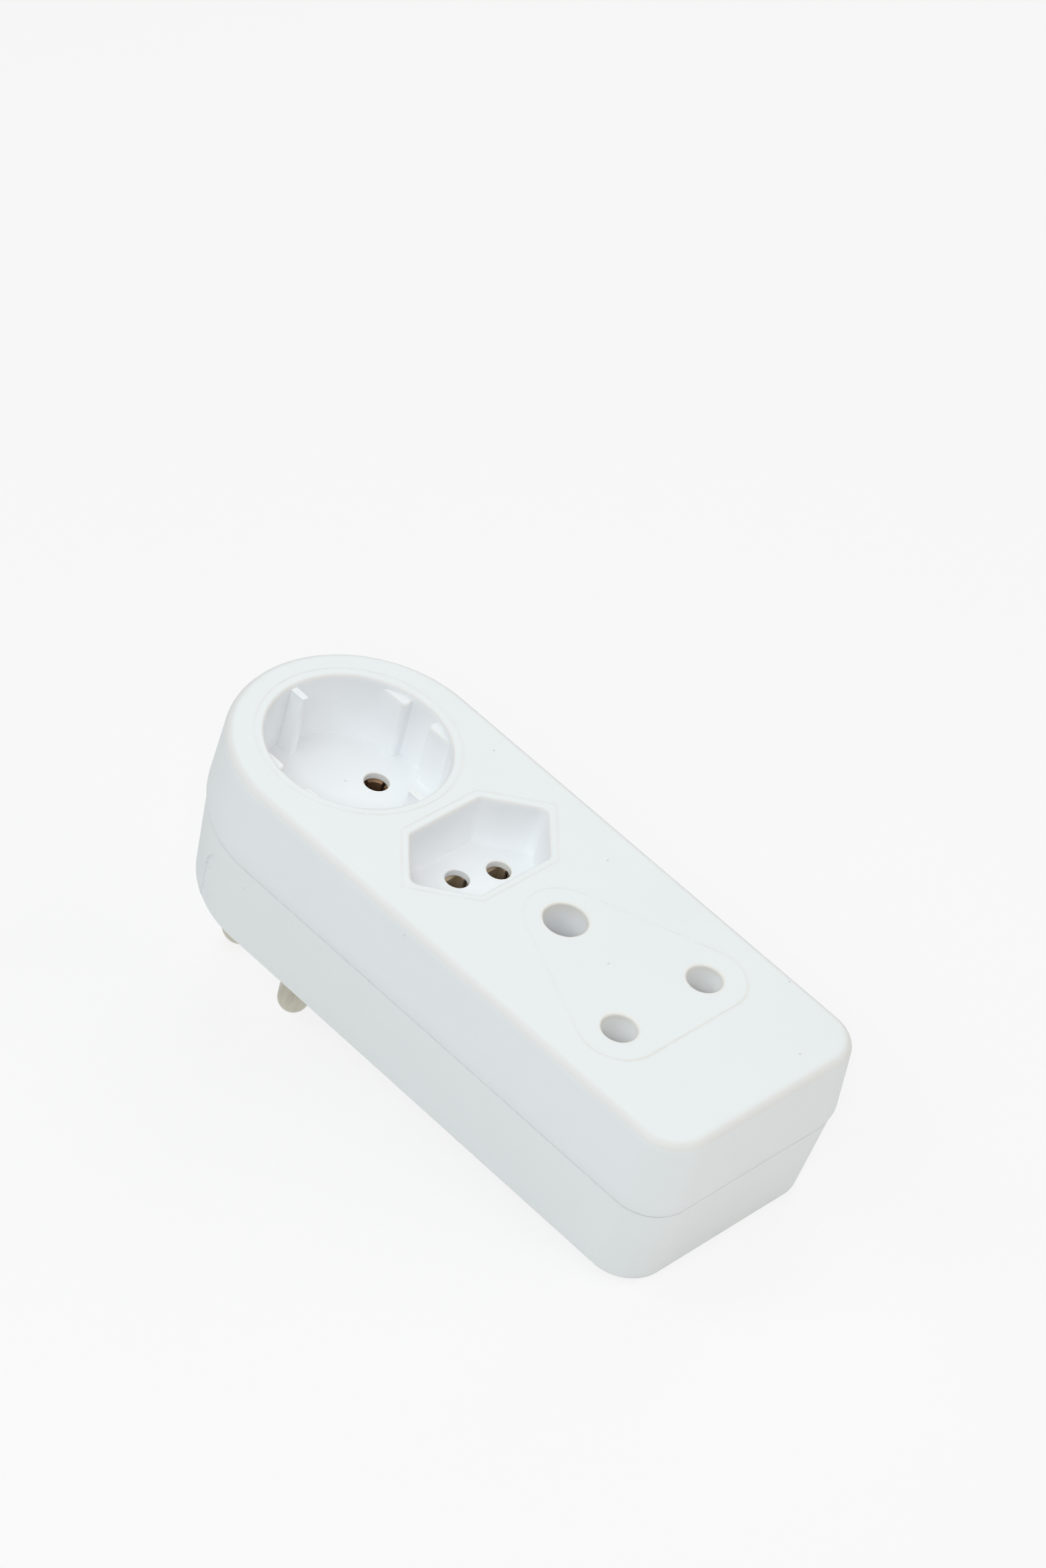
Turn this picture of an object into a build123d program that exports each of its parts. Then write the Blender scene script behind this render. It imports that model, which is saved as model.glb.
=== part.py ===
"""Multi socket adapter: two moulded shells, three plug pins, brass bars and contacts, rivets and screws.

Frame: the origin is on the earth pin's axis at the plug face, +Z points out of the socket face,
+X runs along the body to its square end, and the body is symmetric about Y = 0. Millimetres.
"""

import os

from build123d import *

os.makedirs("parts", exist_ok=True)

# Body heights
top_z = 47.0
belt_z = 28.4
joint_z = 26.5
under_z = 4.0
floor_z = 6.5

# Body outline at the belt, its widest level; the round end lies end_margin beyond the earth pin's axis
half_width = 30.7
end_margin = 9.6
far_x = 144.1
corner_r = 9.6
top_inset_side = 1.15
top_inset_end = 0.3
joint_inset = 0.45
under_inset_side = 1.95
under_inset_end = 2.6
under_inset_nose = 1.4
top_edge_r = 2.4
belt_edge_r = 6.0
under_edge_r = 2.0

# Walls
cover_wall = 2.3
top_wall = 2.8
base_wall_inset = 4.0
lip_height = 2.0
lip_gap = 0.2
groove_height = 0.15
groove_depth = 0.2

# Round two-pin recess
recess_x = 19.4
recess_r = 20.2
recess_depth = 16.9
recess_rim_r = 0.9
recess_flat_depth = 2.9
recess_channel = 7.2
recess_flat_drop = 1.5
recess_flat_corner_r = 1.2
recess_flat_edge_r = 0.6
recess_rib_drop = 1.0
recess_rib_height = 4.0
recess_rib_width = 1.9
recess_rib_edge_r = 0.6
recess_rib_draft = 0.6
round_hole_r = 2.8
round_pitch = 19.0
cup_wall = 1.8
cup_floor = 1.7
pin_hole_rim_r = 0.3

# Hexagonal three-pin recess
hex_x = 56.8
hex_half_x = 10.6
hex_half_flat = 10.3
hex_half_y = 20.1
hex_depth = 12.6
hex_draft = 0.5
hex_rim_r = 0.8
hex_corner_r = 2.0
hex_hole_r = 2.7
hex_live_x = 56.35
hex_earth_offset = 3.0
hex_pitch = 19.0

# Large three-pin outlet and the plug, one pattern
live_pitch = 25.4
earth_to_live = 28.6
outlet_x = 82.6
outlet_earth_r = 4.8
outlet_live_r = 3.85
outlet_rim_r = 0.5
guide_wall = 1.5
guide_end_z = 37.0

# Fine lines left on the face by the mould's inserts, one round each socket
insert_line_width = 0.3
insert_line_depth = 0.08
recess_line_offset = 2.2
hex_line_offset = 1.9
outlet_line_r = 9.1

# Plug pins
earth_pin_r = 4.35
earth_pin_length = 28.9
live_pin_r = 3.525
live_pin_length = 18.9
earth_root_r = 4.6
live_root_r = 3.8
pin_clearance = 0.1
collar_height = 1.5
earth_collar_r = 5.4
live_collar_r = 5.0
spigot_r = 2.6
rivet_head_r = 3.5
rivet_head_height = 1.0
rivet_head_edge = 0.5
boss_earth_r = 5.9
boss_live_r = 8.5
boss_edge_r = 0.8

# Bars and contacts
bar_thickness = 1.2
bar_width = 6.2
bar_pad_r = 3.8
bar_pin_pad_r = 5.2
contact_foot = 1.0
contact_gap = 0.25
contact_slot = 0.8
contact_slot_depth = 10.0
small_bore_r = 2.45
small_sleeve_r = 3.25
live_bore_r = 3.65
live_sleeve_r = 4.55
earth_bore_r = 4.5
earth_sleeve_r = 5.4
clip_gap = 4.4
clip_length = 6.0
clip_wall = 0.7
mouth_flare = 0.5
rivet_r = 1.0
rivet_cap_r = 1.8
rivet_cap = 0.7
rivet_clearance = 0.05

# Insulator over the bars
pillar_r = 2.2
hex_pillar_offset = 6.0
outlet_pillar_offset = 12.0
insulator_thickness = 1.6
insulator_margin = 0.35
insulator_end_x = 118.0
insulator_half_y = 16.0
insulator_collar = 1.5
insulator_corner_r = 3.0
divider_xs = (43.7, 65.5)
divider_length = 8.0
divider_y = 5.2
divider_wall = 1.4
support_xs = (36.5, 72.0, 98.0)
support_wall = 1.8
support_y = 15.0

# Case screws
screw_xs = (42.0, 133.0)
screw_ys = (21.5, 21.0)
screw_head_r = 3.0
screw_head = 2.2
screw_shank_r = 1.5
screw_length = 16.0
screw_seat_z = 19.0
screw_head_edge = 0.6
screw_slot = 0.9
screw_slot_length = 3.4
screw_slot_depth = 1.1
pilot_spare = 1.0
post_r = 4.7
head_clearance = 0.35
shank_clearance = 0.3
pilot_clearance = 0.05

# Finger grips, shallow cuts on the sides of the base that run out towards the square end
grip_start_x = 7.5
grip_end_x = 50.0
grip_start_z = 22.4
grip_end_z = 25.2
grip_depth = 0.4
grip_corner_r = 9.0

# Places and levels that follow from the sizes above
round_x = half_width - end_margin
side_wall = top_inset_side + cover_wall
bar_z = floor_z + collar_height
bar_top = bar_z + bar_thickness
insulator_top = bar_top + insulator_thickness
recess_floor = top_z - recess_depth
recess_flat_y = recess_r - recess_flat_depth
recess_rib_reach = recess_r - recess_rib_height
hex_floor = top_z - hex_depth
hex_earth_x = hex_live_x - hex_earth_offset
live_y = live_pitch / 2
round_y = round_pitch / 2
hex_y = hex_pitch / 2
outlet_live_x = outlet_x + earth_to_live
pillar_xs = (recess_x, hex_x + hex_pillar_offset, outlet_live_x - outlet_pillar_offset)
screw_spots = [(x, side * y) for x, y in zip(screw_xs, screw_ys) for side in (1, -1)]


def outline(level, side, end, nose):
    """Body outline at a level: a round end, straight sides and two round corners.

    Its sides, square end and round end are inset from the belt by side, end and nose.
    """
    radius = half_width - side
    far = far_x - end
    near = round_x - side + nose
    with BuildSketch(Plane.XY.offset(level)) as face:
        with BuildLine():
            a = (near, -radius)
            b = (far - corner_r, -radius)
            c = (far, -radius + corner_r)
            d = (far, radius - corner_r)
            e = (far - corner_r, radius)
            f = (near, radius)
            Line(a, b)
            RadiusArc(b, c, -corner_r)
            Line(c, d)
            RadiusArc(d, e, -corner_r)
            Line(e, f)
            ThreePointArc(f, (near - radius, 0), a)
        make_face()
    return face.sketch


def grip_floor(level, side, nose):
    """Outline of the finger grips' floor: below the skin at the round end, out through it at grip_end_x."""
    radius = half_width - side
    near = round_x - side + nose
    deep = radius - grip_depth
    out = radius + grip_depth
    far = 2 * grip_end_x - near
    with BuildSketch(Plane.XY.offset(level)) as face:
        with BuildLine():
            ThreePointArc((near, deep), (near - deep, 0), (near, -deep))
            Polyline((near, -deep), (far, -out), (far, out), (near, deep))
        make_face()
    return face.sketch


def inset(level, amount):
    """Body outline at a level, inset from the belt by the same amount all round."""
    return outline(level, amount, amount, amount)


def hexagon(level, grow):
    """Outline of the hexagonal recess at a level, larger by grow all round."""
    x = hex_half_x
    y = hex_half_flat
    with BuildSketch(Plane.XY.offset(level)) as face:
        with Locations((hex_x, 0)):
            Polygon((-x, -y), (0, -hex_half_y), (x, -y), (x, y), (0, hex_half_y), (-x, y), align=None)
        if grow:
            offset(amount=grow, kind=Kind.INTERSECTION)
        fillet(face.vertices(), hex_corner_r)
    return face.sketch


def ring(level, x, radius, width):
    """A thin ring round an upright axis at x on the middle plane."""
    with BuildSketch(Plane.XY.offset(level)) as face:
        with Locations((x, 0)):
            Circle(radius + width / 2)
            Circle(radius - width / 2, mode=Mode.SUBTRACT)
    return face.sketch


def three_circles(level, x, earth_r, live_r):
    """Hull of the three pin circles of the large pattern, with the earth circle at x."""
    with BuildSketch(Plane.XY.offset(level)) as face:
        with Locations((x, 0)):
            Circle(earth_r)
        with Locations((x + earth_to_live, live_y), (x + earth_to_live, -live_y)):
            Circle(live_r)
        make_hull()
    return face.sketch


# Top cover: outer skin, hollow, cups, guides, posts and pillars, then the sockets cut into it
with BuildPart() as top_cover:
    loft(
        sections=[
            inset(joint_z, joint_inset),
            inset(belt_z, 0),
            outline(top_z, top_inset_side, top_inset_end, top_inset_side),
        ],
        ruled=True,
    )
    fillet(top_cover.edges().group_by(Axis.Z)[-1], top_edge_r)
    belt = top_cover.edges().filter_by(lambda e: abs(e.center().Z - belt_z) < 0.01)
    fillet(belt, belt_edge_r)
    loft(
        sections=[
            inset(joint_z, joint_inset + cover_wall),
            outline(top_z - top_wall, side_wall, top_inset_end + cover_wall, side_wall),
        ],
        ruled=True,
        mode=Mode.SUBTRACT,
    )

    # Cups that hold the two recesses
    with BuildSketch(Plane.XY.offset(recess_floor - cup_floor)):
        with Locations((recess_x, 0)):
            Circle(recess_r + cup_wall)
    extrude(amount=recess_depth + cup_floor - top_wall)
    extrude(hexagon(hex_floor - cup_floor, cup_wall), amount=hex_depth + cup_floor - top_wall)

    # Guides round the outlet holes, and posts that take the case screws
    with BuildSketch(Plane.XY.offset(guide_end_z)):
        with Locations((outlet_x, 0)):
            Circle(outlet_earth_r + guide_wall)
        with Locations((outlet_live_x, live_y), (outlet_live_x, -live_y)):
            Circle(outlet_live_r + guide_wall)
    extrude(amount=top_z - top_wall - guide_end_z)
    with BuildSketch(Plane.XY.offset(joint_z)):
        with Locations(*screw_spots):
            Circle(post_r)
    extrude(amount=top_z - top_wall - joint_z)

    # Pillars that press the insulator down on the bars
    with BuildSketch(Plane.XY.offset(insulator_top)):
        with Locations((pillar_xs[0], 0)):
            Circle(pillar_r)
    extrude(amount=recess_floor - cup_floor / 2 - insulator_top)
    with BuildSketch(Plane.XY.offset(insulator_top)):
        with Locations((pillar_xs[1], 0)):
            Circle(pillar_r)
    extrude(amount=hex_floor - cup_floor / 2 - insulator_top)
    with BuildSketch(Plane.XY.offset(insulator_top)):
        with Locations((pillar_xs[2], 0)):
            Circle(pillar_r)
    extrude(amount=top_z - top_wall - insulator_top)

    # Round recess
    with BuildSketch(Plane.XY.offset(recess_floor)):
        with Locations((recess_x, 0)):
            Circle(recess_r)
    extrude(amount=recess_depth, mode=Mode.SUBTRACT)
    rim = top_cover.edges().filter_by(GeomType.CIRCLE).group_by(Axis.Z)[-1]
    fillet(rim.filter_by(lambda e: abs(e.radius - recess_r) < 0.01), recess_rim_r)

    # Flats on the two sides where the pins lie, each parted by a channel
    flat_top = top_z - recess_flat_drop
    with BuildSketch(Plane.XY.offset(recess_floor - cup_floor / 2)) as flats:
        with Locations((recess_x, 0)):
            Circle(recess_r + cup_wall / 2)
            Rectangle(4 * recess_r, 2 * recess_flat_y, mode=Mode.SUBTRACT)
            Rectangle(recess_channel, 4 * recess_r, mode=Mode.SUBTRACT)
        inner = flats.vertices().filter_by(
            lambda v: abs(v.X - recess_x) < recess_channel and abs(v.Y) < recess_flat_y + 0.1
        )
        fillet(inner, recess_flat_corner_r)
    extrude(amount=flat_top - recess_floor + cup_floor / 2)
    flat_edges = top_cover.edges().filter_by(lambda e: abs(e.center().Z - flat_top) < 0.01)
    middle = Vector(recess_x, 0, flat_top)
    inner_edges = flat_edges.filter_by(lambda e: (e.center() - middle).length < recess_r - recess_flat_edge_r)
    fillet(inner_edges, recess_flat_edge_r)

    # Ribs on the other two sides, with a little draft
    rib_length = recess_r + cup_wall / 2 - recess_rib_reach
    with BuildSketch(Plane.XY.offset(recess_floor - cup_floor / 2)) as ribs:
        for side in (1, -1):
            with Locations((recess_x + side * (recess_rib_reach + rib_length / 2), 0)):
                Rectangle(rib_length, recess_rib_width)
        noses = ribs.vertices().filter_by(lambda v: abs(v.X - recess_x) < recess_rib_reach + 0.1)
        fillet(noses, recess_rib_edge_r)
    extrude(amount=recess_depth + cup_floor / 2 - recess_rib_drop, taper=recess_rib_draft)

    # Hexagonal recess with drafted walls
    loft(sections=[hexagon(hex_floor, -hex_draft), hexagon(top_z, 0)], ruled=True, mode=Mode.SUBTRACT)
    near_hex = top_cover.edges().group_by(Axis.Z)[-1].filter_by(
        lambda e: abs(e.center().X - hex_x) < hex_half_x + 0.1 and abs(e.center().Y) < hex_half_y + 0.1
    )
    fillet(near_hex, hex_rim_r)

    # Pin holes of the two recesses
    with BuildSketch(Plane.XY.offset(recess_floor)):
        with Locations((recess_x, round_y), (recess_x, -round_y)):
            Circle(round_hole_r)
    extrude(amount=-cup_floor, mode=Mode.SUBTRACT)
    with BuildSketch(Plane.XY.offset(hex_floor)):
        with Locations((hex_live_x, hex_y), (hex_live_x, -hex_y), (hex_earth_x, 0)):
            Circle(hex_hole_r)
    extrude(amount=-cup_floor, mode=Mode.SUBTRACT)
    for level, radius in ((recess_floor, round_hole_r), (hex_floor, hex_hole_r)):
        mouths = top_cover.edges().filter_by(GeomType.CIRCLE).filter_by(
            lambda e: abs(e.radius - radius) < 0.01 and abs(e.arc_center.Z - level) < 0.01
        )
        fillet(mouths, pin_hole_rim_r)

    # Outlet holes with rounded rims
    with BuildSketch(Plane.XY.offset(top_z)):
        with Locations((outlet_x, 0)):
            Circle(outlet_earth_r)
        with Locations((outlet_live_x, live_y), (outlet_live_x, -live_y)):
            Circle(outlet_live_r)
    extrude(amount=-(top_z - guide_end_z), mode=Mode.SUBTRACT)
    holes = top_cover.edges().filter_by(GeomType.CIRCLE).group_by(Axis.Z)[-1]
    fillet(
        holes.filter_by(lambda e: min(abs(e.radius - outlet_earth_r), abs(e.radius - outlet_live_r)) < 0.01),
        outlet_rim_r,
    )

    # Fine lines of the mould inserts, one round each socket
    half_line = insert_line_width / 2
    outer_line = three_circles(top_z, outlet_x, outlet_line_r + half_line, outlet_line_r + half_line)
    inner_line = three_circles(top_z, outlet_x, outlet_line_r - half_line, outlet_line_r - half_line)
    extrude(outer_line - inner_line, amount=-insert_line_depth, mode=Mode.SUBTRACT)
    hex_line = hexagon(top_z, hex_line_offset + half_line) - hexagon(top_z, hex_line_offset - half_line)
    extrude(hex_line, amount=-insert_line_depth, mode=Mode.SUBTRACT)
    recess_line = ring(top_z, recess_x, recess_r + recess_line_offset, insert_line_width)
    extrude(recess_line, amount=-insert_line_depth, mode=Mode.SUBTRACT)

    # Pilot holes in the posts
    with BuildSketch(Plane.XY.offset(joint_z)):
        with Locations(*screw_spots):
            Circle(screw_shank_r + pilot_clearance)
    extrude(amount=screw_seat_z + screw_length + pilot_spare - joint_z, mode=Mode.SUBTRACT)

top_cover.part.label = "top_cover"
export_step(top_cover.part, "parts/top_cover.step")

# Finger grips: what lies outside their floor, inside an upright outline with a round corner
with BuildPart() as finger_grips:
    with BuildSketch(Plane.XZ):
        with BuildLine():
            FilletPolyline(
                (grip_end_x, under_z),
                (grip_start_x, under_z),
                (grip_start_x, grip_start_z),
                (grip_end_x, grip_end_z),
                radius=(0, grip_corner_r),
            )
            Line((grip_end_x, grip_end_z), (grip_end_x, under_z))
        make_face()
    extrude(amount=2 * half_width, both=True)
    loft(
        sections=[
            grip_floor(under_z, under_inset_side, under_inset_nose),
            grip_floor(joint_z, joint_inset, joint_inset),
        ],
        ruled=True,
        mode=Mode.SUBTRACT,
    )

# Base: outer skin with its grips, hollow, lip, posts, bar supports, plug boss, then the holes
with BuildPart() as base:
    loft(
        sections=[
            outline(under_z, under_inset_side, under_inset_end, under_inset_nose),
            inset(joint_z, joint_inset),
        ],
        ruled=True,
    )
    fillet(base.edges().group_by(Axis.Z)[0], under_edge_r)

    add(finger_grips.part, mode=Mode.SUBTRACT)
    extrude(inset(floor_z, base_wall_inset), amount=joint_z - floor_z, mode=Mode.SUBTRACT)

    # Lip that enters the cover, and a fine groove along the joint
    lip = inset(joint_z, joint_inset + cover_wall + lip_gap) - inset(joint_z, base_wall_inset)
    extrude(lip, amount=lip_height)
    groove = inset(joint_z, -groove_depth) - inset(joint_z, joint_inset + groove_depth)
    extrude(groove, amount=-groove_height, mode=Mode.SUBTRACT)

    # Posts for the case screws, and cross ribs that carry the bars
    with BuildSketch(Plane.XY.offset(floor_z)):
        with Locations(*screw_spots):
            Circle(post_r)
    extrude(amount=joint_z - floor_z)
    with BuildSketch(Plane.XY.offset(floor_z)):
        with Locations(*[(x, 0) for x in support_xs]):
            Rectangle(support_wall, 2 * support_y)
    extrude(amount=bar_z - floor_z)

    # Plug boss
    extrude(three_circles(0, 0, boss_earth_r, boss_live_r), amount=floor_z)
    fillet(base.edges().group_by(Axis.Z)[0], boss_edge_r)

    # Pin holes, screw wells and screw holes
    with BuildSketch():
        Circle(earth_root_r + pin_clearance)
        with Locations((earth_to_live, live_y), (earth_to_live, -live_y)):
            Circle(live_root_r + pin_clearance)
    extrude(amount=floor_z, mode=Mode.SUBTRACT)
    with BuildSketch(Plane.XY.offset(screw_seat_z)):
        with Locations(*screw_spots):
            Circle(screw_head_r + head_clearance)
    extrude(amount=-(screw_seat_z - under_z), mode=Mode.SUBTRACT)
    with BuildSketch(Plane.XY.offset(screw_seat_z)):
        with Locations(*screw_spots):
            Circle(screw_shank_r + shank_clearance)
    extrude(amount=joint_z - screw_seat_z, mode=Mode.SUBTRACT)

base.part.label = "base"
export_step(base.part, "parts/base.step")


def pin(name, x, y, radius, root_r, length, collar_r):
    """Plug pin: domed end, thicker root in the base, collar on the floor, riveted spigot above the bar."""
    with BuildPart() as body:
        with BuildSketch(Plane(origin=(x, y, 0), x_dir=(1, 0, 0), z_dir=(0, -1, 0))):
            with BuildLine():
                Polyline(
                    (radius, radius - length),
                    (radius, 0),
                    (root_r, 0),
                    (root_r, floor_z),
                    (collar_r, floor_z),
                    (collar_r, bar_z),
                    (spigot_r, bar_z),
                    (spigot_r, bar_top),
                    (rivet_head_r, bar_top),
                    (rivet_head_r - rivet_head_edge, bar_top + rivet_head_height),
                    (0, bar_top + rivet_head_height),
                    (0, -length),
                )
                RadiusArc((0, -length), (radius, radius - length), -radius)
            make_face()
        revolve(axis=Axis((x, y, 0), (0, 0, 1)))
    body.part.label = name
    export_step(body.part, "parts/" + name + ".step")


def sleeve(name, x, y, bore_r, sleeve_r, top):
    """Split brass sleeve with a flared mouth, standing on its bar by a closed foot with a rivet hole."""
    with BuildPart() as body:
        with BuildSketch(Plane.XY.offset(bar_top)):
            with Locations((x, y)):
                Circle(sleeve_r)
        extrude(amount=top - bar_top)
        with BuildSketch(Plane.XY.offset(bar_top + contact_foot)):
            with Locations((x, y)):
                Circle(bore_r)
        extrude(amount=top - bar_top - contact_foot, mode=Mode.SUBTRACT)
        mouth = body.edges().filter_by(GeomType.CIRCLE).group_by(Axis.Z)[-1].sort_by(SortBy.RADIUS)[0]
        chamfer(mouth, mouth_flare)
        with BuildSketch(Plane.XY.offset(top)):
            with Locations((x, y)):
                Rectangle(contact_slot, 3 * sleeve_r)
                Rectangle(3 * sleeve_r, contact_slot)
        extrude(amount=-contact_slot_depth, mode=Mode.SUBTRACT)
        with BuildSketch(Plane.XY.offset(bar_top)):
            with Locations((x, y)):
                Circle(rivet_r + rivet_clearance)
        extrude(amount=contact_foot, mode=Mode.SUBTRACT)
    body.part.label = name
    export_step(body.part, "parts/" + name + ".step")


def clip(name, x, y, top):
    """Folded brass clip of box section, slit into two leaves, with a flared mouth and a riveted foot."""
    with BuildPart() as body:
        with BuildSketch(Plane.XY.offset(bar_top)):
            with Locations((x, y)):
                RectangleRounded(clip_gap + 2 * clip_wall, clip_length + 2 * clip_wall, clip_wall / 2)
        extrude(amount=top - bar_top)
        with BuildSketch(Plane.XY.offset(bar_top + contact_foot)):
            with Locations((x, y)):
                Rectangle(clip_gap, clip_length)
        extrude(amount=top - bar_top - contact_foot, mode=Mode.SUBTRACT)
        rim = body.edges().group_by(Axis.Z)[-1]
        mouth = rim.filter_by(lambda e: abs(e.center().X - x) < clip_gap / 2 + 0.01)
        chamfer(mouth.filter_by(lambda e: abs(e.center().Y - y) < clip_length / 2 + 0.01), mouth_flare)
        with BuildSketch(Plane.XY.offset(top)):
            with Locations((x, y)):
                Rectangle(contact_slot, 2 * clip_length)
        extrude(amount=-contact_slot_depth, mode=Mode.SUBTRACT)
        with BuildSketch(Plane.XY.offset(bar_top)):
            with Locations((x, y)):
                Circle(rivet_r + rivet_clearance)
        extrude(amount=contact_foot, mode=Mode.SUBTRACT)
    body.part.label = name
    export_step(body.part, "parts/" + name + ".step")


def bar(name, side):
    """Strip of the line (side 1) or neutral (side -1) pole, from its plug pin to its three contacts."""
    y = (live_y + round_y) / 2
    with BuildPart() as body:
        with BuildSketch(Plane.XY.offset(bar_z)):
            with Locations(((recess_x + outlet_live_x) / 2, side * y)):
                Rectangle(outlet_live_x - recess_x, bar_width)
            with Locations((recess_x, side * round_y), (hex_live_x, side * hex_y)):
                Circle(bar_pad_r)
            with Locations((earth_to_live, side * live_y), (outlet_live_x, side * live_y)):
                Circle(bar_pin_pad_r)
            with Locations((earth_to_live, side * live_y)):
                Circle(spigot_r + pin_clearance, mode=Mode.SUBTRACT)
            with Locations(
                (recess_x, side * round_y), (hex_live_x, side * hex_y), (outlet_live_x, side * live_y)
            ):
                Circle(rivet_r + rivet_clearance, mode=Mode.SUBTRACT)
        extrude(amount=bar_thickness)
    body.part.label = name
    export_step(body.part, "parts/" + name + ".step")


# Plug pins
pin("earth_pin", 0, 0, earth_pin_r, earth_root_r, earth_pin_length, earth_collar_r)
pin("line_pin", earth_to_live, live_y, live_pin_r, live_root_r, live_pin_length, live_collar_r)
pin("neutral_pin", earth_to_live, -live_y, live_pin_r, live_root_r, live_pin_length, live_collar_r)

# Strips and contacts of the two live poles, and the earth contacts, each just below its holes
round_top = recess_floor - cup_floor - contact_gap
hex_top = hex_floor - cup_floor - contact_gap
outlet_top = guide_end_z - contact_gap
for pole, side in (("line", 1), ("neutral", -1)):
    bar(pole + "_bar", side)
    sleeve("round_" + pole + "_contact", recess_x, side * round_y, small_bore_r, small_sleeve_r, round_top)
    clip("hex_" + pole + "_contact", hex_live_x, side * hex_y, hex_top)
    outlet_name = "outlet_" + pole + "_contact"
    sleeve(outlet_name, outlet_live_x, side * live_y, live_bore_r, live_sleeve_r, outlet_top)
clip("hex_earth_contact", hex_earth_x, 0, hex_top)
sleeve("outlet_earth_contact", outlet_x, 0, earth_bore_r, earth_sleeve_r, outlet_top)

# Strip of the earth pole, along the middle
with BuildPart() as earth_bar:
    with BuildSketch(Plane.XY.offset(bar_z)):
        with Locations((outlet_x / 2, 0)):
            Rectangle(outlet_x, bar_width)
        with Locations((0, 0), (outlet_x, 0)):
            Circle(bar_pin_pad_r)
        with Locations((hex_earth_x, 0)):
            Circle(bar_pad_r)
        Circle(spigot_r + pin_clearance, mode=Mode.SUBTRACT)
        with Locations((hex_earth_x, 0), (outlet_x, 0)):
            Circle(rivet_r + rivet_clearance, mode=Mode.SUBTRACT)
    extrude(amount=bar_thickness)

earth_bar.part.label = "earth_bar"
export_step(earth_bar.part, "parts/earth_bar.step")

# Rivets, one through the foot of each contact
contact_spots = [(hex_earth_x, 0), (outlet_x, 0)]
for side in (1, -1):
    contact_spots += [(recess_x, side * round_y), (hex_live_x, side * hex_y), (outlet_live_x, side * live_y)]
with BuildPart() as contact_rivets:
    with BuildSketch(Plane.XY.offset(bar_z)):
        with Locations(*contact_spots):
            Circle(rivet_r)
    extrude(amount=bar_thickness + contact_foot)
    with BuildSketch(Plane.XY.offset(bar_top + contact_foot)):
        with Locations(*contact_spots):
            Circle(rivet_cap_r)
    extrude(amount=rivet_cap)
    with BuildSketch(Plane.XY.offset(bar_z)):
        with Locations(*contact_spots):
            Circle(rivet_cap_r)
    extrude(amount=-rivet_cap)

contact_rivets.part.label = "contact_rivets"
export_step(contact_rivets.part, "parts/contact_rivets.step")

# Insulator: a plate over the bars with openings for contacts and pin heads, and walls between the poles
with BuildPart() as bar_insulator:
    pin_area = three_circles(bar_top, 0, bar_pin_pad_r, live_collar_r + insulator_collar)
    extrude(pin_area, amount=insulator_thickness)
    with BuildSketch(Plane.XY.offset(bar_top)):
        with Locations(((earth_to_live + insulator_end_x) / 2, 0)):
            Rectangle(insulator_end_x - earth_to_live, 2 * insulator_half_y)
    extrude(amount=insulator_thickness)
    fillet(bar_insulator.edges().filter_by(Axis.Z).group_by(Axis.X)[-1], insulator_corner_r)
    with BuildSketch(Plane.XY.offset(bar_top)):
        for x in divider_xs:
            with Locations((x, divider_y), (x, -divider_y)):
                Rectangle(divider_length, divider_wall)
    extrude(amount=-(bar_top - floor_z))
    with BuildSketch(Plane.XY.offset(bar_top)):
        with Locations((0, 0), (earth_to_live, live_y), (earth_to_live, -live_y)):
            Circle(rivet_head_r + insulator_margin)
        with Locations((hex_earth_x, 0), (hex_live_x, hex_y), (hex_live_x, -hex_y)):
            around = 2 * (clip_wall + insulator_margin)
            Rectangle(clip_gap + around, clip_length + around)
        with Locations((recess_x, round_y), (recess_x, -round_y)):
            Circle(small_sleeve_r + insulator_margin)
        with Locations((outlet_x, 0)):
            Circle(earth_sleeve_r + insulator_margin)
        with Locations((outlet_live_x, live_y), (outlet_live_x, -live_y)):
            Circle(live_sleeve_r + insulator_margin)
    extrude(amount=insulator_thickness, mode=Mode.SUBTRACT)

bar_insulator.part.label = "bar_insulator"
export_step(bar_insulator.part, "parts/bar_insulator.step")

# Case screws: pan heads with a cross recess below, plain shanks at the pilot's size
with BuildPart() as case_screws:
    with BuildSketch(Plane.XY.offset(screw_seat_z)):
        with Locations(*screw_spots):
            Circle(screw_head_r)
    extrude(amount=-screw_head)
    chamfer(case_screws.edges().filter_by(GeomType.CIRCLE).group_by(Axis.Z)[0], screw_head_edge)
    with BuildSketch(Plane.XY.offset(screw_seat_z)):
        with Locations(*screw_spots):
            Circle(screw_shank_r)
    extrude(amount=screw_length)
    with BuildSketch(Plane.XY.offset(screw_seat_z - screw_head)):
        with Locations(*screw_spots):
            Rectangle(screw_slot, screw_slot_length)
            Rectangle(screw_slot_length, screw_slot)
    extrude(amount=screw_slot_depth, mode=Mode.SUBTRACT)

case_screws.part.label = "case_screws"
export_step(case_screws.part, "parts/case_screws.step")
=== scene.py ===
"""Looks of the multi socket adapter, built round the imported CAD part, in metres in its own frame."""

import math

import bpy
from mathutils import Matrix, Vector

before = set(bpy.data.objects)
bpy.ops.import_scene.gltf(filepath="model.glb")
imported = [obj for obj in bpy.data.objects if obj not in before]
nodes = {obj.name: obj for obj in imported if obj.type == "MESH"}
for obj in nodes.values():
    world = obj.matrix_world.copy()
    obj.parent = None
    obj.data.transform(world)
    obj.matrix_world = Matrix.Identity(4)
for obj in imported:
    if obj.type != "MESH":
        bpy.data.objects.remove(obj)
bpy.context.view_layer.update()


# Places on the part that its finish follows; a band says where a mask starts to change and where it ends

face_band = (0.0466, 0.0469)
socket_top_band = (0.0464, 0.0468)
cover_floor_band = (0.0284, 0.0288)
joint_height = 0.0265
joint_band = (0.0001, 0.0005)
line_half = 0.0005

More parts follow.
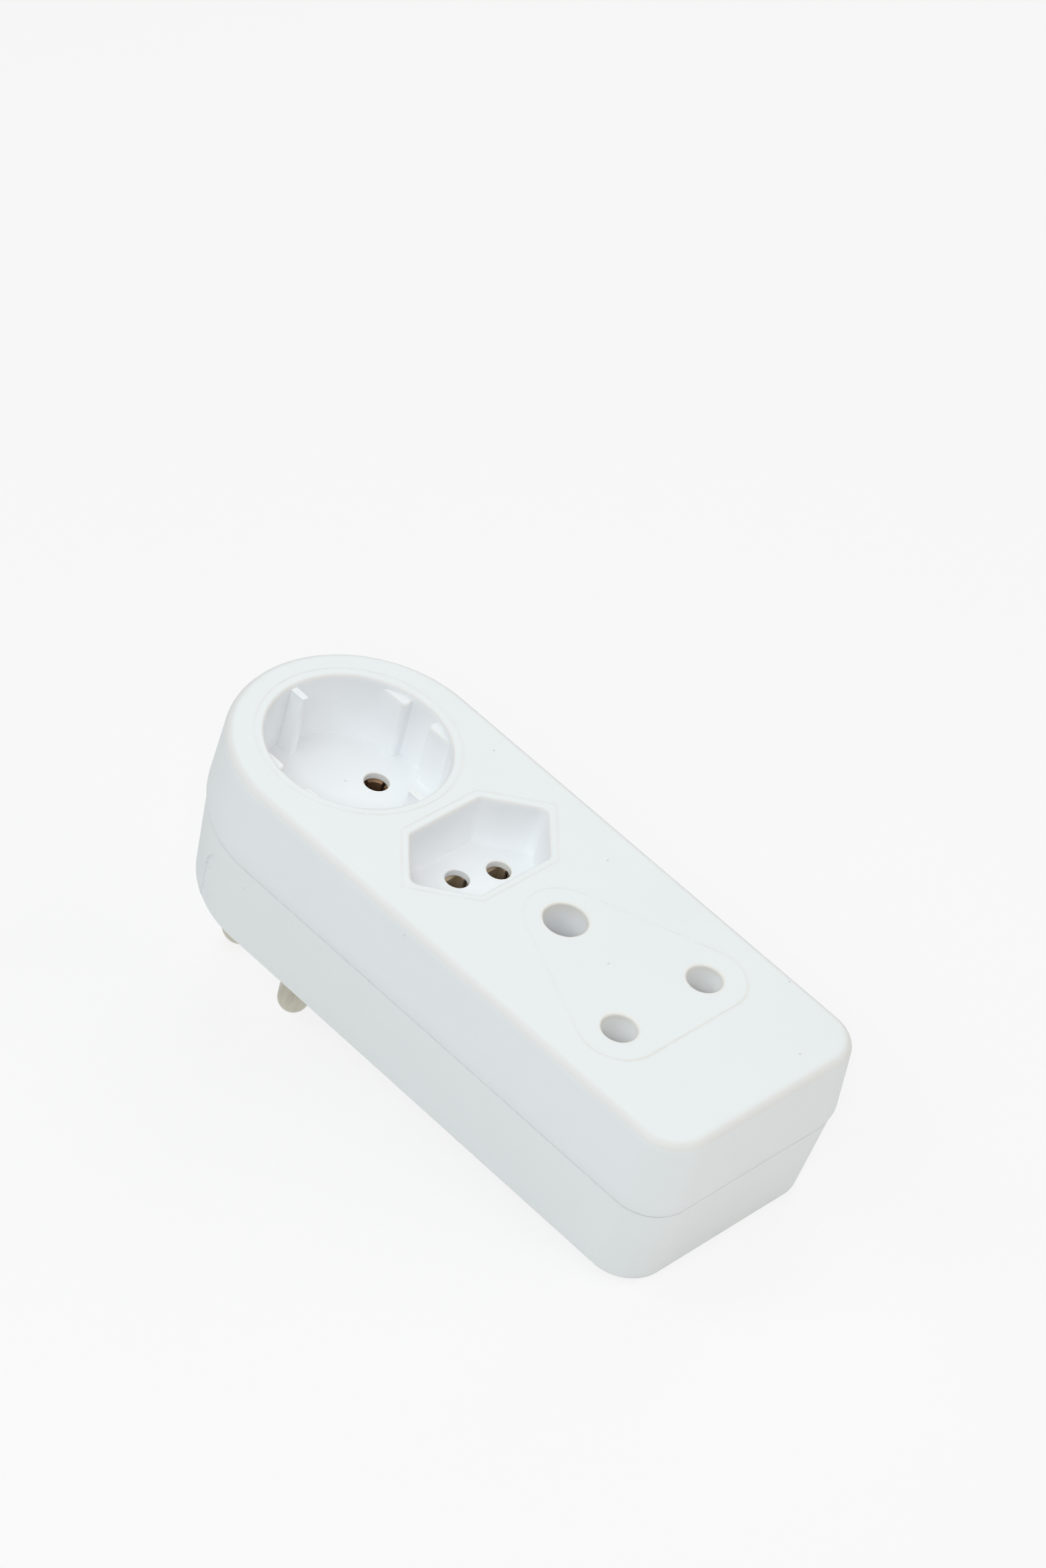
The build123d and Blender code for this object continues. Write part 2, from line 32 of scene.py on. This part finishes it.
round_recess_x = 0.0194
round_recess_band = (0.0203, 0.0206)
round_line_radius = 0.0224

hex_recess_x = 0.0568
hex_end_wall = 0.0106
hex_slant_normal = (0.6789, 0.7343)
hex_slant_wall = 0.01476
hex_recess_band = (0.0002, 0.0005)
hex_line_margin = 0.0019

pin_hole_y = 0.0095
hex_pin_hole_x = 0.05635
pin_hole_band = (0.0029, 0.0032)
pin_hole_top_band = (0.036, 0.0365)

outlet_pole_x = 0.1112
outlet_pole_y = 0.0127
outlet_earth_x = 0.0826
outlet_pole_band = (0.0041, 0.0046)
outlet_earth_band = (0.005, 0.0055)
pole_rim_band = (0.0452, 0.0466)
earth_wall_band = (0.0435, 0.0465)
outlet_line_margin = 0.0091
outlet_line_half = 0.0006
# Across this band the outlet's line goes from faint to strong: painted shade of a slight step lit on its
# +X side
outlet_line_shade_x_band = (0.095, 0.119)
outlet_line_shade_levels = (0.4, 1.6)


# Steps that build the node trees; a value may be a socket or a number

def put(tree, value, socket):
    """Links a socket to another, or sets a plain value on it."""
    if isinstance(value, bpy.types.NodeSocket):
        tree.links.new(value, socket)
    else:
        socket.default_value = value


def noise(tree, vector, scale, detail):
    node = tree.nodes.new("ShaderNodeTexNoise")
    node.inputs["Scale"].default_value = scale
    node.inputs["Detail"].default_value = detail
    tree.links.new(vector, node.inputs["Vector"])
    return node.outputs["Fac"]


def spread(tree, value, band, levels):
    """A value mapped from a band to a pair of levels, held between them."""
    node = tree.nodes.new("ShaderNodeMapRange")
    node.inputs["From Min"].default_value, node.inputs["From Max"].default_value = band
    node.inputs["To Min"].default_value, node.inputs["To Max"].default_value = levels
    tree.links.new(value, node.inputs["Value"])
    return node.outputs["Result"]


def rise(tree, value, band):
    return spread(tree, value, band, (0.0, 1.0))


def fall(tree, value, band):
    return spread(tree, value, band, (1.0, 0.0))


def blend(tree, factor, first, second):
    """Mixes two colours."""
    node = tree.nodes.new("ShaderNodeMix")
    node.data_type = "RGBA"
    for label, value in (("Factor", factor), ("A", first), ("B", second)):
        put(tree, value, [s for s in node.inputs if s.name == label and s.enabled][0])
    return [s for s in node.outputs if s.enabled][0]


def bump(tree, height, strength, distance, normal=None):
    node = tree.nodes.new("ShaderNodeBump")
    node.inputs["Distance"].default_value = distance
    put(tree, strength, node.inputs["Strength"])
    tree.links.new(height, node.inputs["Height"])
    if normal is not None:
        tree.links.new(normal, node.inputs["Normal"])
    return node.outputs["Normal"]


def math_node(tree, operation, *values):
    node = tree.nodes.new("ShaderNodeMath")
    node.operation = operation
    for socket, value in zip(node.inputs, values):
        put(tree, value, socket)
    return node.outputs[0]


def plus(tree, first, second):
    return math_node(tree, "ADD", first, second)


def minus(tree, first, second):
    return math_node(tree, "SUBTRACT", first, second)


def times(tree, first, second):
    return math_node(tree, "MULTIPLY", first, second)


def larger(tree, first, second):
    return math_node(tree, "MAXIMUM", first, second)


def smaller(tree, first, second):
    return math_node(tree, "MINIMUM", first, second)


def without_sign(tree, value):
    return math_node(tree, "ABSOLUTE", value)


def weighed(tree, x, x_share, y, y_share):
    """A share of one value plus a share of another."""
    return plus(tree, times(tree, x, x_share), times(tree, y, y_share))


def length_of(tree, x, y):
    return math_node(tree, "SQRT", weighed(tree, x, x, y, y))


# Shader node groups that the materials share

def new_group(name, inputs, outputs):
    """An empty shader node group with the named sockets; returns its tree and its two end nodes."""
    tree = bpy.data.node_groups.new(name, "ShaderNodeTree")
    for label, kind, value in inputs:
        socket = tree.interface.new_socket(label, in_out="INPUT", socket_type=kind)
        if value is not None:
            socket.default_value = value
    for label, kind in outputs:
        tree.interface.new_socket(label, in_out="OUTPUT", socket_type=kind)
    return tree, tree.nodes.new("NodeGroupInput"), tree.nodes.new("NodeGroupOutput")


def part_marks():
    """Masks in the part's frame: lines on the face, mouths of the holes, socket insides, tubes, joint."""
    tree, start, end = new_group(
        "part_marks",
        [("Vector", "NodeSocketVector", None)],
        [(label, "NodeSocketFloat") for label in ("Lines", "Mouth_shade", "Inside", "Painted_light_tubes", "Joint")],
    )
    place = start.outputs["Vector"]
    split = tree.nodes.new("ShaderNodeSeparateXYZ")
    tree.links.new(place, split.inputs["Vector"])
    x, z = split.outputs["X"], split.outputs["Z"]
    y = without_sign(tree, split.outputs["Y"])

    def line(distance, middle, half):
        return fall(tree, without_sign(tree, minus(tree, distance, middle)), (0.0, half))

    # Round the round recess
    from_round_x = minus(tree, x, round_recess_x)
    round_reach = length_of(tree, from_round_x, y)
    round_line = line(round_reach, round_line_radius, line_half)

    # Round the hexagonal recess: the further of its end walls and its slanted walls
    from_hex_x = without_sign(tree, minus(tree, x, hex_recess_x))
    end_wall = minus(tree, from_hex_x, hex_end_wall)
    across, along = hex_slant_normal
    slant = minus(tree, weighed(tree, from_hex_x, across, y, along), hex_slant_wall)
    hex_reach = larger(tree, end_wall, slant)
    hex_line = line(hex_reach, hex_line_margin, line_half)

    # Round the large outlet: equally far from the edges that join its three hole centres
    from_pole_x = minus(tree, x, outlet_pole_x)
    from_pole_y = minus(tree, y, outlet_pole_y)
    from_earth_x = minus(tree, x, outlet_earth_x)
    to_short_edge = length_of(tree, from_pole_x, larger(tree, from_pole_y, 0.0))
    edge = Vector((outlet_pole_x - outlet_earth_x, outlet_pole_y))
    edge_share = edge / edge.length_squared
    passed = weighed(tree, from_earth_x, edge_share.x, y, edge_share.y)
    passed = smaller(tree, larger(tree, passed, 0.0), 1.0)
    from_edge_x = minus(tree, from_earth_x, times(tree, passed, edge.x))
    from_edge_y = minus(tree, y, times(tree, passed, edge.y))
    nearest = smaller(tree, to_short_edge, length_of(tree, from_edge_x, from_edge_y))
    outlet_line = line(nearest, outlet_line_margin, outlet_line_half)
    # Painted shade: the outlet's line, a real mark of the mould, is painted fainter towards -X and
    # stronger towards +X, as light falls on the edge of a slight step
    outlet_line = times(tree, outlet_line, spread(tree, x, outlet_line_shade_x_band, outlet_line_shade_levels))

    # All three lines, worn in places, on the face alone
    lines = larger(tree, larger(tree, round_line, hex_line), outlet_line)
    worn = spread(tree, noise(tree, place, scale=160, detail=3), band=(0.35, 0.65), levels=(0.35, 1.0))
    lines = times(tree, times(tree, lines, worn), rise(tree, z, face_band))
    tree.links.new(lines, end.inputs["Lines"])

    # Walls just inside the outlet's three holes
    poles = fall(tree, length_of(tree, from_pole_x, from_pole_y), outlet_pole_band)
    earth = fall(tree, length_of(tree, from_earth_x, y), outlet_earth_band)
    pole_rims = times(tree, poles, rise(tree, z, pole_rim_band))
    earth_wall = times(tree, earth, rise(tree, z, earth_wall_band))
    mouths = larger(tree, pole_rims, earth_wall)

    # Walls of the pin holes in the floors of the two recesses
    from_pin_y = minus(tree, y, pin_hole_y)
    to_round_pin = length_of(tree, from_round_x, from_pin_y)
    to_hex_pin = length_of(tree, minus(tree, x, hex_pin_hole_x), from_pin_y)
    pin_holes = fall(tree, smaller(tree, to_round_pin, to_hex_pin), pin_hole_band)
    pin_holes = times(tree, pin_holes, fall(tree, z, pin_hole_top_band))
    # The walls just inside the outlet's holes and the pin holes carry a painted warm shade
    tree.links.new(larger(tree, mouths, pin_holes), end.inputs["Mouth_shade"])

    # Walls and floors inside the sockets of the cover, where the plastic is painted lighter as a stand-in
    # for light scattered into the hollows
    in_round = fall(tree, round_reach, round_recess_band)
    in_hex = fall(tree, hex_reach, hex_recess_band)
    sockets = larger(tree, larger(tree, in_round, in_hex), larger(tree, poles, earth))
    in_cover = times(tree, fall(tree, z, socket_top_band), rise(tree, z, cover_floor_band))
    tree.links.new(times(tree, sockets, in_cover), end.inputs["Inside"])
    tree.links.new(times(tree, poles, in_cover), end.inputs["Painted_light_tubes"])

    # The joint between cover and base
    from_joint = without_sign(tree, minus(tree, z, joint_height))
    tree.links.new(fall(tree, from_joint, joint_band), end.inputs["Joint"])
    return tree


marks_group = part_marks()
finish_outputs = [
    ("Colour", "NodeSocketColor"), ("Roughness", "NodeSocketFloat"), ("Normal", "NodeSocketVector")
]


def moulded_skin():
    """Moulded plastic: slow drift of tone, the part's marks, painted light inside the sockets, painted
    shade on rounded edges and hole mouths, rare tiny specks, fine grain, faint flow.
    """
    tree, start, end = new_group(
        "moulded_skin",
        [
            ("Vector", "NodeSocketVector", None),
            ("Facing", "NodeSocketVector", None),
            ("Colour", "NodeSocketColor", (0.8, 0.8, 0.8, 1)),
            ("Drift", "NodeSocketColor", (0.78, 0.79, 0.78, 1)),
            ("Edge_shade", "NodeSocketColor", (0.8, 0.8, 0.78, 1)),
            ("Inside", "NodeSocketColor", (0.95, 0.963, 0.985, 1)),
            ("Painted_light_tubes", "NodeSocketColor", (0.978, 0.985, 0.993, 1)),
            ("Lines", "NodeSocketColor", (0.78, 0.72, 0.64, 1)),
            ("Mouth_shade", "NodeSocketColor", (0.93, 0.895, 0.84, 1)),
            ("Joint", "NodeSocketColor", (0.45, 0.45, 0.44, 1)),
            ("Specks", "NodeSocketColor", (0.35, 0.33, 0.3, 1)),
            ("Grain", "NodeSocketFloat", 0.1),
            ("Roughness", "NodeSocketFloat", 0.4),
        ],
        finish_outputs,
    )
    given = start.outputs
    place = given["Vector"]
    drift = spread(tree, noise(tree, place, scale=24, detail=3), band=(0.35, 0.7), levels=(0.0, 0.55))
    colour = blend(tree, drift, given["Colour"], given["Drift"])

    # Painted light: the plastic inside the sockets is made lighter, lightest in the outlet's two narrow
    # tubes, standing in for light scattered into the hollows
    marks = tree.nodes.new("ShaderNodeGroup")
    marks.node_tree = marks_group
    tree.links.new(place, marks.inputs["Vector"])
    for label in ("Inside", "Painted_light_tubes"):
        colour = blend(tree, marks.outputs[label], colour, given[label])

    # Painted shade: rounded edges, told by normals that lean between upright and level, are made a little
    # darker and warmer, standing in for the dimmer light that the translucent plastic shows there
    lean = tree.nodes.new("ShaderNodeSeparateXYZ")
    tree.links.new(given["Facing"], lean.inputs["Vector"])
    rising = rise(tree, lean.outputs["Z"], band=(0.2, 0.5))
    falling = fall(tree, lean.outputs["Z"], band=(0.86, 0.98))
    colour = blend(tree, times(tree, rising, falling), colour, given["Edge_shade"])

    # The lines on the face are warmer too; the mouths of the holes get a painted shade, warmer and a
    # little darker, standing in for the warm shading of the translucent plastic there; and the joint
    # holds a little dust
    strongest_line = outlet_line_shade_levels[1]
    tints = (("Lines", strongest_line, 0.36), ("Mouth_shade", 1.0, 0.6), ("Joint", 1.0, 0.13))
    for label, full_mask, most_tint in tints:
        tint = spread(tree, marks.outputs[label], band=(0.0, full_mask), levels=(0.0, most_tint))
        colour = blend(tree, tint, colour, given[label])

    # Rare specks: the cores of a few cells of a fine cell pattern
    cells = tree.nodes.new("ShaderNodeTexVoronoi")
    cells.inputs["Scale"].default_value = 320
    tree.links.new(place, cells.inputs["Vector"])
    core = fall(tree, cells.outputs["Distance"], band=(0.05, 0.11))
    pick = tree.nodes.new("ShaderNodeSeparateColor")
    tree.links.new(cells.outputs["Color"], pick.inputs["Color"])
    chosen = rise(tree, pick.outputs["Red"], band=(0.955, 0.965))
    most_speck = 0.3
    specks = times(tree, times(tree, core, chosen), most_speck)
    colour = blend(tree, specks, colour, given["Specks"])
    tree.links.new(colour, end.inputs["Colour"])

    # Roughness wanders a little round the given value
    wander = spread(tree, noise(tree, place, scale=90, detail=3), band=(0.3, 0.7), levels=(-0.05, 0.05))
    tree.links.new(plus(tree, wander, given["Roughness"]), end.inputs["Roughness"])

    # Fine grain over a slow flow of the surface
    grain_height = noise(tree, place, scale=2600, detail=2)
    flow_height = noise(tree, place, scale=60, detail=2)
    grain = bump(tree, grain_height, strength=given["Grain"], distance=0.00004)
    flow = bump(tree, flow_height, strength=0.05, distance=0.0006, normal=grain)
    tree.links.new(flow, end.inputs["Normal"])
    return tree


along_z = (1.0, 1.0, 0.06)
along_x = (0.06, 1.0, 1.0)


def worked_metal():
    """Drawn or plated metal: streaks along one axis, tarnish in soft patches, small dents."""
    tree, start, end = new_group(
        "worked_metal",
        [
            ("Vector", "NodeSocketVector", None),
            ("Stretch", "NodeSocketVector", along_z),
            ("Colour", "NodeSocketColor", (0.6, 0.6, 0.6, 1)),
            ("Tarnish", "NodeSocketColor", (0.4, 0.38, 0.34, 1)),
            ("Roughness", "NodeSocketFloat", 0.35),
        ],
        finish_outputs,
    )
    given = start.outputs
    pull = tree.nodes.new("ShaderNodeVectorMath")
    pull.operation = "MULTIPLY"
    tree.links.new(given["Vector"], pull.inputs[0])
    tree.links.new(given["Stretch"], pull.inputs[1])
    streak = noise(tree, pull.outputs[0], scale=3000, detail=3)
    streak_band = (0.3, 0.7)
    streak_tone = spread(tree, streak, streak_band, levels=(0.0, 0.25))
    cloud = noise(tree, given["Vector"], scale=140, detail=4)
    patch = spread(tree, cloud, band=(0.4, 0.75), levels=(0.0, 0.8))
    colour = blend(tree, patch, given["Colour"], given["Tarnish"])
    colour = blend(tree, streak_tone, colour, given["Tarnish"])
    tree.links.new(colour, end.inputs["Colour"])
    wander = spread(tree, streak, streak_band, levels=(-0.07, 0.09))
    tree.links.new(plus(tree, wander, given["Roughness"]), end.inputs["Roughness"])
    dents = bump(tree, streak, strength=0.25, distance=0.00002)
    tree.links.new(dents, end.inputs["Normal"])
    return tree


skin_group = moulded_skin()
metal_group = worked_metal()


# Materials

def material(name, group, values, shader):
    """A Principled material fed by one shared group on Object coordinates."""
    made = bpy.data.materials.new(name)
    made.use_nodes = True
    tree = made.node_tree
    main = tree.nodes["Principled BSDF"]
    place = tree.nodes.new("ShaderNodeTexCoord")
    use = tree.nodes.new("ShaderNodeGroup")
    use.node_tree = group
    tree.links.new(place.outputs["Object"], use.inputs["Vector"])
    if "Facing" in use.inputs:
        tree.links.new(place.outputs["Normal"], use.inputs["Facing"])
    for label, value in values.items():
        use.inputs[label].default_value = value
    tree.links.new(use.outputs["Colour"], main.inputs["Base Color"])
    tree.links.new(use.outputs["Roughness"], main.inputs["Roughness"])
    tree.links.new(use.outputs["Normal"], main.inputs["Normal"])
    for label, value in shader.items():
        main.inputs[label].default_value = value
    return made


def plastic(name, colour, drift, edge):
    return material(
        name,
        skin_group,
        {"Colour": colour, "Drift": drift, "Edge_shade": edge, "Roughness": 0.55, "Grain": 0.12},
        {"IOR": 1.5, "Specular IOR Level": 0.3},
    )


def metal(name, colour, tarnish, rough, stretch=along_z, metallic=1.0):
    return material(
        name,
        metal_group,
        {"Colour": colour, "Tarnish": tarnish, "Roughness": rough, "Stretch": stretch},
        {"Metallic": metallic},
    )


# Painted shade for the rounded edges: a little darker and warmer than the plastic itself
edge_shade_white = (0.9, 0.898, 0.896, 1)
cover_white = plastic("cover_white", (0.925, 0.95, 0.968, 1), (0.908, 0.934, 0.949, 1), edge_shade_white)
base_white = plastic("base_white", (0.925, 0.95, 0.965, 1), (0.91, 0.932, 0.944, 1), edge_shade_white)
insulator_white = plastic(
    "insulator_white", (0.66, 0.66, 0.63, 1), (0.6, 0.6, 0.57, 1), (0.66, 0.66, 0.62, 1)
)
pin_nickel = metal(
    "pin_nickel", (0.58, 0.56, 0.475, 1), (0.36, 0.34, 0.275, 1), rough=0.32, metallic=0.85
)
sleeve_brass = metal(
    "sleeve_brass", (0.22, 0.125, 0.065, 1), (0.08, 0.04, 0.02, 1), rough=0.5, metallic=0.5
)
outlet_tin = metal("outlet_tin", (0.84, 0.83, 0.8, 1), (0.7, 0.68, 0.62, 1), rough=0.4, metallic=0.7)
clip_brass = metal("clip_brass", (0.56, 0.46, 0.33, 1), (0.3, 0.19, 0.12, 1), rough=0.5, metallic=0.5)
bar_brass = metal(
    "bar_brass", (0.66, 0.47, 0.2, 1), (0.4, 0.26, 0.11, 1), rough=0.38, stretch=along_x
)
screw_zinc = metal("screw_zinc", (0.58, 0.59, 0.6, 1), (0.42, 0.42, 0.4, 1), rough=0.4)

looks = {
    "top_cover": cover_white,
    "base": base_white,
    "bar_insulator": insulator_white,
    "case_screws": screw_zinc,
    "contact_rivets": bar_brass,
    "earth_pin": pin_nickel,
    "neutral_pin": pin_nickel,
    "line_pin": pin_nickel,
    "earth_bar": bar_brass,
    "neutral_bar": bar_brass,
    "line_bar": bar_brass,
    "round_neutral_contact": sleeve_brass,
    "round_line_contact": sleeve_brass,
    "hex_earth_contact": clip_brass,
    "hex_neutral_contact": clip_brass,
    "hex_line_contact": clip_brass,
    "outlet_earth_contact": outlet_tin,
    "outlet_neutral_contact": outlet_tin,
    "outlet_line_contact": outlet_tin,
}
for name, node in nodes.items():
    node.data.materials.clear()
    node.data.materials.append(looks[name])


# Floor: the table on which the adapter lies, on its earth pin and the square end's lower edge

tip_centre = Vector((0, 0, -0.02455))
tip_radius = 0.00435
edge_centre = Vector((0.13968, 0, 0.006))
edge_radius = 0.002
floor_gap = 0.0001
reach = 4.0
rest = edge_centre - tip_centre
tilt = math.atan2(rest.z, rest.x) + math.asin((tip_radius - edge_radius) / rest.length)
floor_normal = Vector((-math.sin(tilt), 0, math.cos(tilt)))
floor_mesh = bpy.data.meshes.new("table_top")
floor_mesh.from_pydata(
    [(-reach, -reach, 0), (reach, -reach, 0), (reach, reach, 0), (-reach, reach, 0)], [], [(0, 1, 2, 3)]
)
floor = bpy.data.objects.new("table_top", floor_mesh)
bpy.context.scene.collection.objects.link(floor)
floor_place = Matrix.Translation(tip_centre - floor_normal * (tip_radius + floor_gap))
floor.matrix_world = floor_place @ Matrix.Rotation(-tilt, 4, "Y")


def seen_directly(tree):
    """1 for rays that show the backdrop itself: from the camera, in a reflection or through glass."""
    path = tree.nodes.new("ShaderNodeLightPath")
    shown = larger(tree, path.outputs["Is Camera Ray"], path.outputs["Is Glossy Ray"])
    return larger(tree, shown, path.outputs["Is Transmission Ray"])


backdrop = (0.98, 0.98, 0.98, 1)
table_pale = (0.92, 0.92, 0.92, 1)
table_less_pale = (0.91, 0.91, 0.91, 1)
most_backdrop = 0.82
floor_look = bpy.data.materials.new("pale_table")
floor_look.use_nodes = True
floor_tree = floor_look.node_tree
floor_main = floor_tree.nodes["Principled BSDF"]
floor_coord = floor_tree.nodes.new("ShaderNodeTexCoord")
floor_cloud = noise(floor_tree, floor_coord.outputs["Object"], scale=6, detail=2)
floor_tone = rise(floor_tree, floor_cloud, band=(0.3, 0.7))
floor_colour = blend(floor_tree, floor_tone, table_pale, table_less_pale)
floor_tree.links.new(floor_colour, floor_main.inputs["Base Color"])
floor_main.inputs["Roughness"].default_value = 0.9
floor_main.inputs["Specular IOR Level"].default_value = 0.1
floor_glow = floor_tree.nodes.new("ShaderNodeEmission")
floor_glow.inputs["Color"].default_value = backdrop
floor_mix = floor_tree.nodes.new("ShaderNodeMixShader")
floor_share = times(floor_tree, seen_directly(floor_tree), most_backdrop)
floor_tree.links.new(floor_share, floor_mix.inputs["Fac"])
floor_tree.links.new(floor_main.outputs["BSDF"], floor_mix.inputs[1])
floor_tree.links.new(floor_glow.outputs["Emission"], floor_mix.inputs[2])
floor_tree.links.new(floor_mix.outputs["Shader"], floor_tree.nodes["Material Output"].inputs["Surface"])
floor_mesh.materials.append(floor_look)


# Light: soft panels all round the object, a small one in front, a little warmer from the right

middle = Vector((0.067, 0, 0.02))


def panel(name, place, size, power, colour):
    """A square lamp that faces the middle of the object."""
    light = bpy.data.lights.new(name, "AREA")
    light.shape = "SQUARE"
    light.size = size
    light.energy = power
    light.color = colour
    holder = bpy.data.objects.new(name, light)
    holder.location = place
    holder.rotation_mode = "QUATERNION"
    holder.rotation_quaternion = (middle - Vector(place)).to_track_quat("-Z", "Y")
    bpy.context.scene.collection.objects.link(holder)


plain = (1.0, 1.0, 1.0)
warm = (1.0, 0.965, 0.9)
cool = (0.93, 1.0, 0.99)
panel("panel_front", (0.54, -0.72, 0.86), size=0.2, power=2.9, colour=plain)
panel("panel_front_left", (0.1, -1.0, 0.95), size=0.7, power=3.6, colour=cool)
panel("panel_left", (-0.9, -0.6, 0.6), size=0.9, power=3.0, colour=plain)
panel("panel_left_high", (-0.5, -0.45, 1.1), size=0.9, power=2.8, colour=cool)
panel("panel_right", (1.0, 0.6, 1.1), size=1.6, power=8.9, colour=warm)
panel("panel_behind", (-0.5, 1.0, 0.7), size=0.9, power=3.1, colour=plain)
panel("panel_behind_high", (-0.35, 0.45, 1.2), size=0.9, power=3.2, colour=cool)

world = bpy.data.worlds.new("surround")
bpy.context.scene.world = world
world.use_nodes = True
world_tree = world.node_tree
surround = world_tree.nodes["Background"]
surround.inputs["Color"].default_value = backdrop
world_tree.links.new(seen_directly(world_tree), surround.inputs["Strength"])


# Camera at the photograph's viewing angle, from a fit to the outlet's holes, the recesses and the outline

lens_data = bpy.data.cameras.new("camera")
lens_data.sensor_width = 36.0
lens_data.sensor_fit = "AUTO"
lens_data.lens = 130.266
lens_data.clip_start = 0.01
lens_data.clip_end = 20.0
camera = bpy.data.objects.new("camera", lens_data)
bpy.context.scene.collection.objects.link(camera)
stand = Vector((0.56316, -0.71054, 0.84115))
right = Vector((0.68621, 0.69951, 0.19951))
up = Vector((-0.58641, 0.36969, 0.72074))
back = Vector((0.4304, -0.61157, 0.66388))
turn = Matrix((right, up, back)).transposed().to_4x4()
camera.matrix_world = Matrix.Translation(stand) @ turn
bpy.context.scene.camera = camera

bpy.context.scene.view_settings.view_transform = "Standard"
